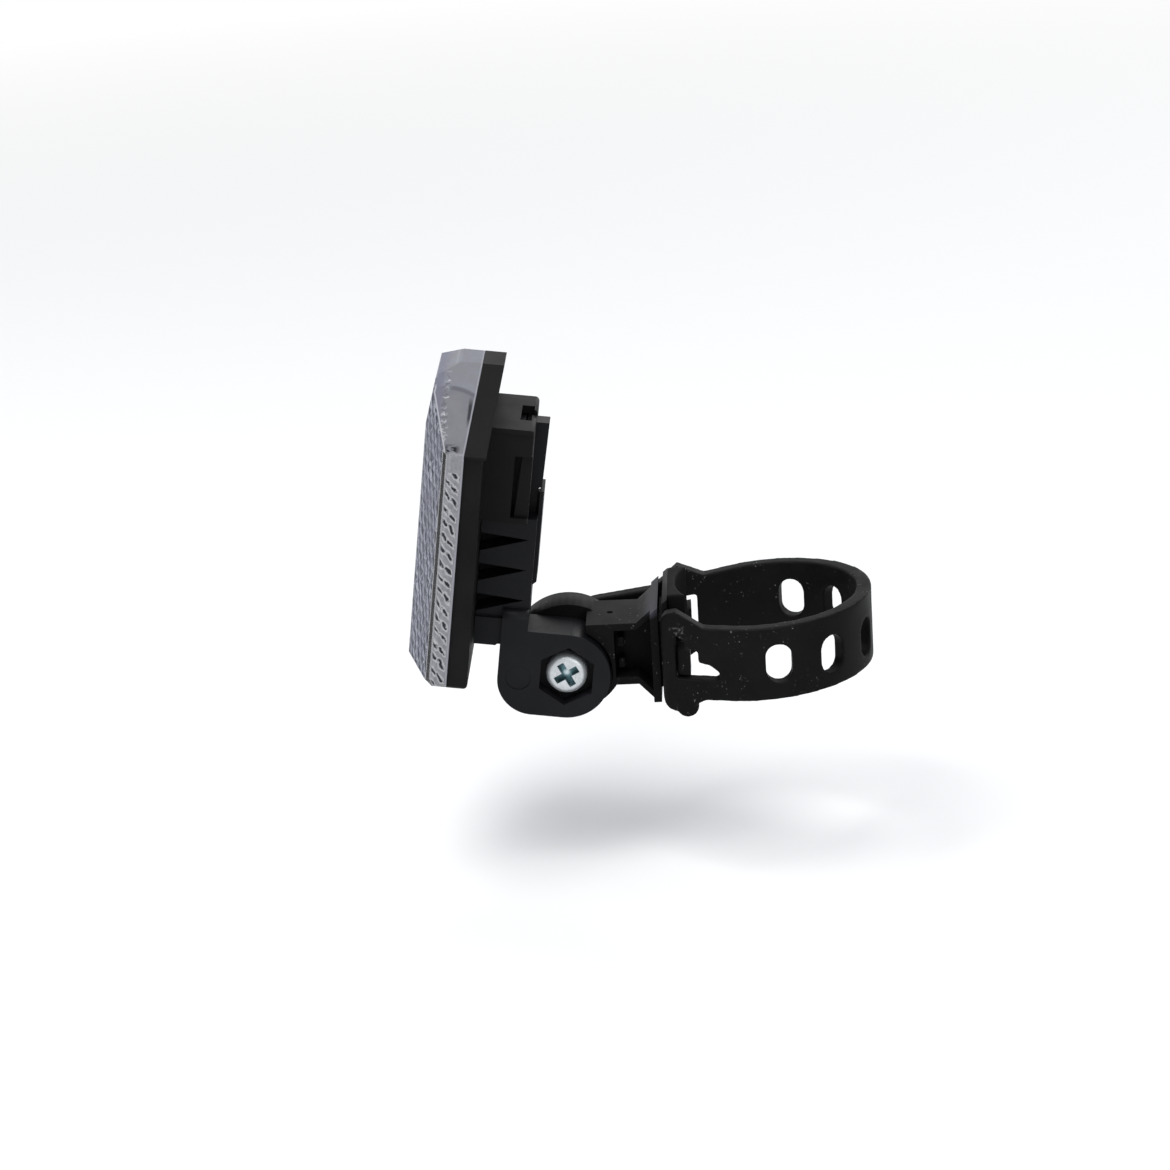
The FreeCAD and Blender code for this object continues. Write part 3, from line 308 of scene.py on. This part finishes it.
def zinc(name, tint, crown=None):
    """Bright zinc plating; inside the cross of a head the colour turns dark blue-green, pale at its very
    middle.
    """
    m = Nodes(name)
    at = m.coords()
    cloud = m.noise(at, 700, 4, 0.6)
    marks = m.noise(at, 900, 3, 0.7, stretch=(1, 6, 1))
    colour = m.ramp(cloud, [(0.3, tuple(0.8 * c for c in tint)), (0.7, tint)])
    if crown:
        x = m.along(at, (1000, 0, 0))
        y = m.along(at, (0, 1000, 0), AXIS_AHEAD)
        z = m.along(at, (0, 0, 1000), AXIS_BELOW)
        out = m.length(y, z)
        sunk = m.times(m.span(x, crown - 0.12, crown - 0.03, 1, 0), m.span(out, 2.5, 2.6, 1, 0))
        sunk = m.times(sunk, m.span(x, crown - 2.1, crown - 2.0, 0, 1))
        teal = m.ramp(cloud, [(0.35, (0.035, 0.07, 0.08)), (0.65, (0.13, 0.24, 0.27))])
        teal = m.mix(m.span(out, 0.25, 0.8, 0.9, 0), teal, (0.75, 0.85, 0.88))
        colour = m.mix(sunk, colour, teal)
    roughness = m.span(marks, 0.35, 0.7, 0.26, 0.42)
    normal = m.bump(marks, 0.12, 0.00004)
    m.surface(colour, roughness, normal, Metallic=0.5, Specular_IOR_Level=0.2)
    return m.owner


# Pieces that come from CAD nodes.

def weld(piece):
    """Joins the triangles of a CAD mesh where they meet."""
    joined = piece.modifiers.new("weld", "WELD")
    joined.merge_threshold = 1e-6


def dress(node, material, bevel, segments=2):
    """A CAD node keeps its shape and gets soft edges and its finish."""
    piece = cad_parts[node]
    piece.data.materials.clear()
    piece.data.materials.append(material)
    weld(piece)
    if not bevel:
        return
    flat = piece.modifiers.new("flat", "DECIMATE")
    flat.decimate_type = "DISSOLVE"
    flat.angle_limit = math.radians(0.6)
    edge = piece.modifiers.new("edge", "BEVEL")
    edge.width = bevel
    edge.segments = segments
    edge.limit_method = "ANGLE"
    edge.angle_limit = math.radians(34)
    edge.use_clamp_overlap = True
    edge.miter_outer = "MITER_ARC"
    edge.harden_normals = True


def soft_piece(node, name, material, cell):
    """A rubber node as a moulded piece: even skin, rounded edges and a slight waviness."""
    piece = bpy.data.objects.new(name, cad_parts[node].data.copy())
    scene.collection.objects.link(piece)
    piece.data.materials.clear()
    piece.data.materials.append(material)
    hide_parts(node)
    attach(piece, "clamp")
    weld(piece)
    skin = piece.modifiers.new("skin", "REMESH")
    skin.mode = "VOXEL"
    skin.voxel_size = cell
    skin.use_smooth_shade = True
    soft = piece.modifiers.new("soft", "SMOOTH")
    soft.factor = 0.5
    soft.iterations = 14
    clouds = bpy.data.textures.new(name + "_waves", "CLOUDS")
    clouds.noise_scale = 0.006
    waves = piece.modifiers.new("waves", "DISPLACE")
    waves.texture = clouds
    waves.texture_coords = "LOCAL"
    waves.strength = 0.00006
    waves.mid_level = 1.0


BLACK = ((0.0045, 0.0045, 0.0048), (0.0085, 0.0085, 0.009))
GREY = ((0.0045, 0.0048, 0.0058), (0.0085, 0.009, 0.0108))
RUBBER = ((0.0032, 0.0032, 0.0032), (0.0065, 0.0065, 0.0063))
SCREW_CROWN = 8.1

shell_plastic = moulded_plastic("shell_plastic", *BLACK, rough=0.5)
arm_plastic = moulded_plastic("arm_plastic", *GREY, rough=0.42, sheen=0.12)
# The bracket's patch is a painted highlight on the upper face of its gusset.
bracket_plastic = moulded_plastic("bracket_plastic", *RUBBER, rough=0.46, dust=0.5, sheen=0.05,
                                  wear_and_highlight=(-23.1, 8.9, 3.0))
strap_rubber = moulded_rubber("strap_rubber", *RUBBER, rough=0.5, dust=0.6,
                              wear_and_highlight=((-16.3, 11.9, 2.4), (-17.0, 5.4, 2.0)))
pad_rubber = moulded_rubber("pad_rubber", *RUBBER, rough=0.62)
screw_zinc = zinc("screw_zinc", (0.64, 0.67, 0.69), crown=SCREW_CROWN)
nut_zinc = zinc("nut_zinc", (0.8, 0.82, 0.83))

dress("reflector_housing", shell_plastic, 0.00025)
dress("tilt_arm", arm_plastic, 0.0003)
dress("tube_bracket", bracket_plastic, 0.00025)
soft_piece("bracket_pad", "moulded_pad", pad_rubber, 0.00025)
soft_piece("clamp_strap", "moulded_strap", strap_rubber, 0.00024)
dress("tilt_screw", screw_zinc, 0)
dress("tilt_nut", nut_zinc, 0.0002)


# The lens: a clear cover over moulded prisms, in millimetres of the upright tilt frame.

TILT = (Matrix.Translation((0, -AXIS_AHEAD / 1000, -AXIS_BELOW / 1000)) @ Matrix.Rotation(-LEAN, 4, "X")
        @ Matrix.Scale(0.001, 4))
FRONT, SEAM, HALF_WIDE, PANEL = -30.8, -22.5, 23.0, 7.6
SHOULDER, TOP, TOP_HALF = 47.0, 59.8, 4.5
SWEEP = 4.4 / (HALF_WIDE - PANEL)
ROOF = (HALF_WIDE - TOP_HALF) / (TOP - SHOULDER)
BROW, BROW_SLOPE = 48.0, 1.3 / 9.6
CROWN, CROWN_SLOPE = 57.6, 1.8
SEAM_SLOPE = 0.117
WALL = 2.45
DIAMOND_WIDE, DIAMOND_TALL = 2.9, 5.2
NOTCH_WIDE, NOTCH_TALL = 1.45, 2.7


def cover_front(x, z):
    """Where the outer front of the cover lies, at a place across and up."""
    swept = FRONT + max(0.0, abs(x) - PANEL) * SWEEP
    brow = FRONT + max(0.0, z - BROW) * BROW_SLOPE + max(0.0, z - CROWN) * CROWN_SLOPE
    return max(swept, brow)


def side_at(z, inset):
    """The half width of the outline at a height, set in by a wall."""
    return HALF_WIDE - inset - max(0.0, z - (SHOULDER - inset * 0.4)) * ROOF


def mesh_piece(name, verts, faces, material):
    """A new piece of the lens from points in the tilt frame."""
    mesh = bpy.data.meshes.new(name)
    mesh.from_pydata([TILT @ Vector(v) for v in verts], [], faces)
    mesh.materials.append(material)
    mesh.validate()
    mesh.update()
    piece = bpy.data.objects.new(name, mesh)
    scene.collection.objects.link(piece)
    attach(piece, "reflector")
    return piece


def corner_cubes(across, up, pitch, inside, lay):
    """Hexagonal corner cubes over a field; lay turns (u, v, depth) into a place."""
    radius = pitch / math.sqrt(3)
    step = radius / math.sqrt(2)
    verts, faces, known = [], [], {}

    def vertex(u, v, depth):
        key = (round(u, 3), round(v, 3), round(depth, 3))
        if key not in known:
            known[key] = len(verts)
            verts.append(lay(u, v, depth))
        return known[key]

    rows = range(int((up[1] - up[0]) / (1.5 * radius)) + 1)
    columns = range(int((across[1] - across[0]) / pitch) + 2)
    for row in rows:
        for column in columns:
            u = across[0] + (column + 0.5 * (row % 2)) * pitch
            v = up[0] + row * 1.5 * radius
            if not inside(u, v):
                continue
            rim = []
            for k in range(6):
                turn = math.radians(60 * k + 30)
                height = step if k % 2 else 0.0
                rim.append(vertex(u + radius * math.cos(turn), v + radius * math.sin(turn), height))
            middle = vertex(u, v, 2 * step)
            for k in (1, 3, 5):
                faces.append((middle, rim[k], rim[(k + 1) % 6], rim[(k + 2) % 6]))
    return verts, faces


def prism_plastic(name, low, high, rough):
    """The mirror-like inner prisms, mottled where the moulding flowed."""
    m = Nodes(name)
    at = m.coords()
    cloud = m.noise(at, 260, 3, 0.6)
    colour = m.ramp(cloud, [(0.3, low), (0.7, high)])
    roughness = m.span(cloud, 0.3, 0.7, rough, rough + 0.12)
    normal = m.bump(m.noise(at, 1500, 2, 0.5), 0.15, 0.00006)
    m.surface(colour, roughness, normal, Metallic=0.35, IOR=1.49)
    return m.owner


def front_cells(m, at, x, z, far_out, fine):
    """Colour and height of the front's cells: four facets to a diamond; the facets get painted light and
    shade tones, and their thin edges painted highlights.
    """
    sway = m.span(m.noise(at, 420, 2, 0.5), 0.3, 0.7, -0.22, 0.22)
    wide = m.plus(m.over(x, DIAMOND_WIDE), sway)
    tall = m.over(z, DIAMOND_TALL)
    p = m.math("FRACT", m.plus(wide, tall))
    q = m.math("FRACT", m.minus(wide, tall))
    upper = m.span(m.minus(p, q), -0.06, 0.06, 0, 0.36)
    right = m.span(m.plus(p, q), 0.94, 1.06, 0, 0.3)
    facet = m.plus(m.plus(upper, right), m.span(fine, 0.36, 0.64, 0, 0.34))
    # Painted light and shade: each facet's tone stands in for how it catches the light.
    front = m.ramp(facet, [(0.1, (0.032, 0.034, 0.045)), (0.4, (0.08, 0.083, 0.106)),
                           (0.6, (0.15, 0.154, 0.19)), (0.9, (0.36, 0.37, 0.42))])
    # Painted highlights along the thin edges of the diamonds.
    near_edge = m.math("MINIMUM", p, m.minus(1.0, q))
    front = m.mix(m.span(near_edge, 0.03, 0.1, 0.8, 0), front, (0.42, 0.43, 0.48))
    seen = m.span(m.noise(at, 170, 2, 0.5), 0.35, 0.65, 0.0, 0.5)
    front = m.mix(seen, front, (0.14, 0.143, 0.175))
    # Painted shade along the outer edges of the front.
    front = m.mix(m.span(far_out, 21.9, 22.4, 0, 0.8), front, (0.035, 0.035, 0.045))
    # Painted shade in a dark line and a painted highlight in a bright line along the bottom edge.
    front = m.mix(m.band(z, 0.9, 0.35), front, (0.1, 0.1, 0.12))
    front = m.mix(m.band(z, 1.7, 0.3), front, (0.5, 0.5, 0.53))
    return front, facet


def side_cells(m, y, z, behind, cloud, fine):
    """Colour of the sides and their notches: two slanted columns of notches painted dark with shade, each
    with a painted highlight on its rim, and painted shade along the front edge.
    """
    pale = m.ramp(cloud, [(0.3, (0.25, 0.25, 0.27)), (0.7, (0.33, 0.33, 0.35))])
    pale = m.mix(m.span(fine, 0.45, 0.7, 0, 0.5), pale, (0.17, 0.17, 0.185))
    across = m.over(m.plus(y, 26.0), NOTCH_WIDE)
    column = m.math("FLOOR", across)
    rise = m.plus(m.over(z, NOTCH_TALL), m.times(column, 0.5))
    rise = m.plus(rise, m.span(cloud, 0.3, 0.7, -0.14, 0.14))
    u = m.times(m.minus(m.math("FRACT", across), 0.5), NOTCH_WIDE)
    v = m.times(m.minus(m.math("FRACT", rise), 0.5), NOTCH_TALL)
    long = m.over(m.minus(m.times(u, 0.6), m.times(v, 0.8)), 0.85)
    thin = m.over(m.plus(m.times(u, 0.8), m.times(v, 0.6)), 0.29)
    long = m.plus(long, m.span(fine, 0.3, 0.7, -0.6, 0.6))
    thin = m.plus(thin, m.span(cloud, 0.3, 0.7, -0.7, 0.7))
    reach = m.length(long, thin)
    low = m.times(m.math("LESS_THAN", z, 43.6), m.math("LESS_THAN", y, -23.0))
    # Painted highlight round the rim of each notch, and painted shade in the notch itself.
    rim = m.times(low, m.times(m.band(reach, 1.6, 0.5), 0.8))
    notch = m.times(low, m.span(reach, 0.7, 1.15, 1, 0))
    side = m.mix(rim, pale, (0.52, 0.52, 0.53))
    side = m.mix(notch, side, (0.03, 0.03, 0.036))
    # Painted shade along the front edge of the sides.
    side = m.mix(m.span(behind, 0.4, 0.65, 0.93, 0), side, (0.05, 0.05, 0.06))
    return side, notch


def roof_cells(m, at, y, z, behind, cloud, fine):
    """Colour of the roof: pale, a little darker below an arch, with a column of ribs in front painted with
    highlights on their crests and shade between them, and a painted highlight along its front edge.
    """
    arch = m.plus(z, m.times(m.math("POWER", m.plus(y, 26.4), 2.0), 0.04))
    roof = m.mix(m.span(arch, 56.0, 56.6, 0, 1), (0.2, 0.203, 0.225), (0.25, 0.255, 0.292))
    roof = m.mix(m.span(cloud, 0.4, 0.6, 0, 0.7), roof, (0.235, 0.233, 0.245))
    line = m.times(m.band(arch, 56.1, 0.4), m.span(y, -27.0, -26.0, 0, 0.8))
    roof = m.mix(line, roof, (0.13, 0.13, 0.15))
    violet = m.times(m.span(y, -28.3, -27.2, 0.8, 0), m.span(fine, 0.3, 0.7, 0.5, 1.0))
    roof = m.mix(violet, roof, (0.175, 0.175, 0.235))
    jog = m.span(m.noise(at, 700, 2, 0.5), 0.35, 0.65, -0.35, 0.35)
    rib = m.math("FRACT", m.plus(m.over(z, 1.15), jog))
    rib = m.math("ABSOLUTE", m.minus(rib, 0.5))
    by_front = m.times(m.band(m.plus(y, jog), -27.3, 0.7), m.span(z, 59.0, 57.0, 0, 1))
    # Painted highlights on the crests of the ribs, and painted shade between them.
    shine = m.times(m.span(rib, 0.16, 0.04, 0, 0.8), m.span(cloud, 0.42, 0.55, 0.25, 1))
    roof = m.mix(m.times(by_front, shine), roof, (0.68, 0.69, 0.72))
    roof = m.mix(m.times(by_front, m.span(rib, 0.34, 0.46, 0, 0.6)), roof, (0.09, 0.09, 0.105))
    net = m.times(m.span(z, 51.5, 50.5, 0, 1), m.span(y, -25.6, -26.4, 0, 1))
    net = m.times(net, m.span(m.noise(at, 1500, 1, 0.5), 0.52, 0.62, 0, 0.8))
    roof = m.mix(net, roof, (0.42, 0.42, 0.43))
    fleck = m.span(m.noise(at, 1100, 2, 0.5, stretch=(1, 0.5, 1.6)), 0.43, 0.52, 0, 1)
    foot = m.times(m.band(z, 47.6, 1.0), m.band(y, -25.0, 1.8))
    roof = m.mix(m.times(foot, fleck), roof, (0.022, 0.022, 0.026))
    gap = m.times(m.band(y, -22.4, 0.5), m.band(z, 53.0, 2.2))
    roof = m.mix(gap, roof, (0.05, 0.05, 0.06))
    # Painted highlight along the front edge of the roof.
    edge = m.times(m.band(behind, 0.4, 0.2), m.span(z, 56.5, 56.0, 0, 0.8))
    edge = m.times(edge, m.span(z, 46.6, 47.0, 0, 1))
    return m.mix(edge, roof, (0.5, 0.5, 0.53))


def clear_plastic():
    """Clear acrylic: see-through in its middle panel, pale with moulded cells on all its other faces, whose
    colours carry painted light, shade and highlights.
    """
    m = Nodes("lens_clear")
    at = m.coords()
    c, s = math.cos(LEAN), math.sin(LEAN)
    x = m.along(at, (1000, 0, 0))
    y = m.along(at, (0, 1000 * c, -1000 * s), AXIS_AHEAD * c - AXIS_BELOW * s)
    z = m.along(at, (0, 1000 * s, 1000 * c), AXIS_AHEAD * s + AXIS_BELOW * c)
    far_out = m.math("ABSOLUTE", x)
    swept = m.beyond(far_out, PANEL, SWEEP)
    brow = m.plus(m.beyond(z, BROW, BROW_SLOPE), m.beyond(z, CROWN, CROWN_SLOPE))
    behind = m.minus(m.minus(y, FRONT), m.math("MAXIMUM", swept, brow))

    # Masks by place: the front's outer face, and all outer faces without the inner wall.
    skin = m.span(behind, 0.1, 0.3, 1, 0)
    within = m.times(m.span(far_out, 22.5, 22.7, 1, 0), m.span(z, 57.4, 57.7, 1, 0))
    ahead = m.times(skin, within)
    aside = m.span(far_out, 22.3, 22.7, 0, 1)
    slope = m.plus(far_out, m.times(m.minus(z, SHOULDER), ROOF))
    for other in (m.span(far_out, 22.2, 22.5, 0, 1), m.span(slope, 22.0, 22.5, 0, 1),
                  m.span(z, 59.2, 59.5, 0, 1), m.span(z, 0.3, 0.6, 1, 0)):
        skin = m.math("MAXIMUM", skin, other)
    cloud = m.noise(at, 260, 4, 0.6)
    fine = m.noise(at, 1300, 3, 0.6)
    hair = m.noise(at, 500, 3, 0.6, stretch=(1, 1, 5))

    front, facet = front_cells(m, at, x, z, far_out, fine)
    side, notch = side_cells(m, y, z, behind, cloud, fine)
    roof = roof_cells(m, at, y, z, behind, cloud, fine)
    pattern = m.mix(aside, roof, side)
    seam = m.beyond(z, SHOULDER, SEAM_SLOPE)
    # Painted highlight in a pale line along the back edge at the seam.
    seam_highlight = m.span(m.minus(y, seam), -22.9, -22.75, 0, 0.75)
    pattern = m.mix(seam_highlight, pattern, (0.36, 0.36, 0.4))
    pattern = m.mix(ahead, pattern, front)
    wings = m.span(far_out, PANEL, PANEL + 0.5, 0, 1)
    shut = m.times(skin, m.math("MAXIMUM", m.minus(1.0, ahead), wings))
    clear = m.ramp(cloud, [(0.3, (0.93, 0.94, 0.96)), (0.7, (0.97, 0.975, 0.985))])
    colour = m.mix(shut, clear, pattern)
    roughness = m.span(hair, 0.4, 0.7, 0.05, 0.14)
    height = m.times(shut, m.plus(facet, m.times(notch, -0.8)))
    normal = m.bump(height, 0.25, 0.0001, m.bump(hair, 0.06, 0.00004))
    shader = m.surface(colour, roughness, normal, IOR=1.49, Specular_IOR_Level=0.0)
    m.link(m.span(shut, 0, 1, 1.0, 0.12), shader.inputs["Transmission Weight"])
    return m.owner


def make_prisms(material):
    """Corner cubes behind the cover, up to the window at its top."""
    low, high = 2.6, 46.4

    def inside(u, v):
        return abs(u) < side_at(v, 3.6) and low < v < high

    def lay(u, v, depth):
        return (u, cover_front(u, v) + WALL + depth * 0.8, v)

    verts, faces = corner_cubes((-21.6, 21.6), (low, 47.5), 1.9, inside, lay)
    mesh_piece("prism_field", verts, faces, material)


def make_plate(material):
    """The smooth plate behind the upper window and round the prisms."""
    verts, faces = [], []
    rows, columns = 60, 40
    bottom, top = 2.0, 57.4
    for row in range(rows + 1):
        z = bottom + (top - bottom) * row / rows
        for column in range(columns + 1):
            share = 2 * column / columns - 1
            x = share * side_at(z, 2.5)
            drop = 1.9 if z < SHOULDER else 0.25
            shell = SEAM + 0.2 + max(0.0, z - SHOULDER) * SEAM_SLOPE
            verts.append((x, min(cover_front(x, z) + WALL + drop, shell), z))
    for row in range(rows):
        for column in range(columns):
            a = row * (columns + 1) + column
            faces.append((a, a + 1, a + columns + 2, a + columns + 1))
    piece = mesh_piece("lens_plate", verts, faces, material)
    for face in piece.data.polygons:
        face.use_smooth = True


dress("reflector_lens", clear_plastic(), 0.00035, 3)
make_prisms(prism_plastic("prism_pale", (0.40, 0.42, 0.46), (0.52, 0.54, 0.58), 0.22))
make_plate(prism_plastic("plate_pale", (0.46, 0.47, 0.5), (0.54, 0.55, 0.585), 0.34))


# Studio: a pale floor well below, soft panels and a pale world.

FLOOR_DROP = 0.03


def make_floor():
    """A matt floor that turns to plain white away from the part."""
    mesh = bpy.data.meshes.new("floor")
    shape = bmesh.new()
    bmesh.ops.create_circle(shape, cap_ends=True, segments=96, radius=1.6)
    shape.to_mesh(mesh)
    shape.free()
    floor = bpy.data.objects.new("floor", mesh)
    floor.location.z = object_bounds()[0][2] - FLOOR_DROP
    scene.collection.objects.link(floor)
    m = Nodes("floor_pale")
    radial = m.add("ShaderNodeVectorMath", operation="LENGTH")
    m.link(m.coords(), radial.inputs[0])
    fade = m.span(radial.outputs["Value"], 0.25, 0.9, 0.0, 1.0)
    cloth = m.add("ShaderNodeBsdfDiffuse")
    cloth.inputs["Color"].default_value = (0.93, 0.93, 0.93, 1)
    glow = m.add("ShaderNodeEmission")
    glow.inputs["Strength"].default_value = 1.0
    m.blend(m.times(m.shown(), fade), cloth, glow, "ShaderNodeOutputMaterial")
    mesh.materials.append(m.owner)
    floor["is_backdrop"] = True


def make_world():
    """A dim, bluish light on the part, in front of plain white."""
    m = Nodes("studio", "worlds")
    scene.world = m.owner
    shades = []
    for colour, strength in (((0.9, 0.94, 1.0), 0.4), ((1, 1, 1), 1.0)):
        shade = m.add("ShaderNodeBackground")
        shade.inputs["Color"].default_value = (*colour, 1)
        shade.inputs["Strength"].default_value = strength
        shades.append(shade)
    m.blend(m.shown(), *shades, "ShaderNodeOutputWorld")


def make_lamp(name, place, size, power):
    """A soft rectangular lamp aimed at the part."""
    data = bpy.data.lights.new(name, "AREA")
    data.shape = "RECTANGLE"
    data.size, data.size_y = size
    data.energy = power
    lamp = bpy.data.objects.new(name, data)
    lamp.location = place
    aim = Vector((0, -0.02, 0.015)) - Vector(place)
    lamp.rotation_euler = aim.to_track_quat("-Z", "Y").to_euler()
    scene.collection.objects.link(lamp)


make_floor()
make_world()
make_lamp("key", (0.3, -0.25, 0.85), (0.5, 0.5), 6.0)
make_lamp("fill", (0.7, 0.35, 0.25), (0.5, 0.4), 1.0)
make_lamp("front", (-0.1, -0.8, 0.25), (0.5, 0.5), 2.0)
make_lamp("back", (-0.6, 0.4, 0.6), (0.5, 0.5), 2.4)

boxes = {"cad": cad_box, "visual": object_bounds()}
{k: [list(corner) for corner in v] for k, v in boxes.items()}
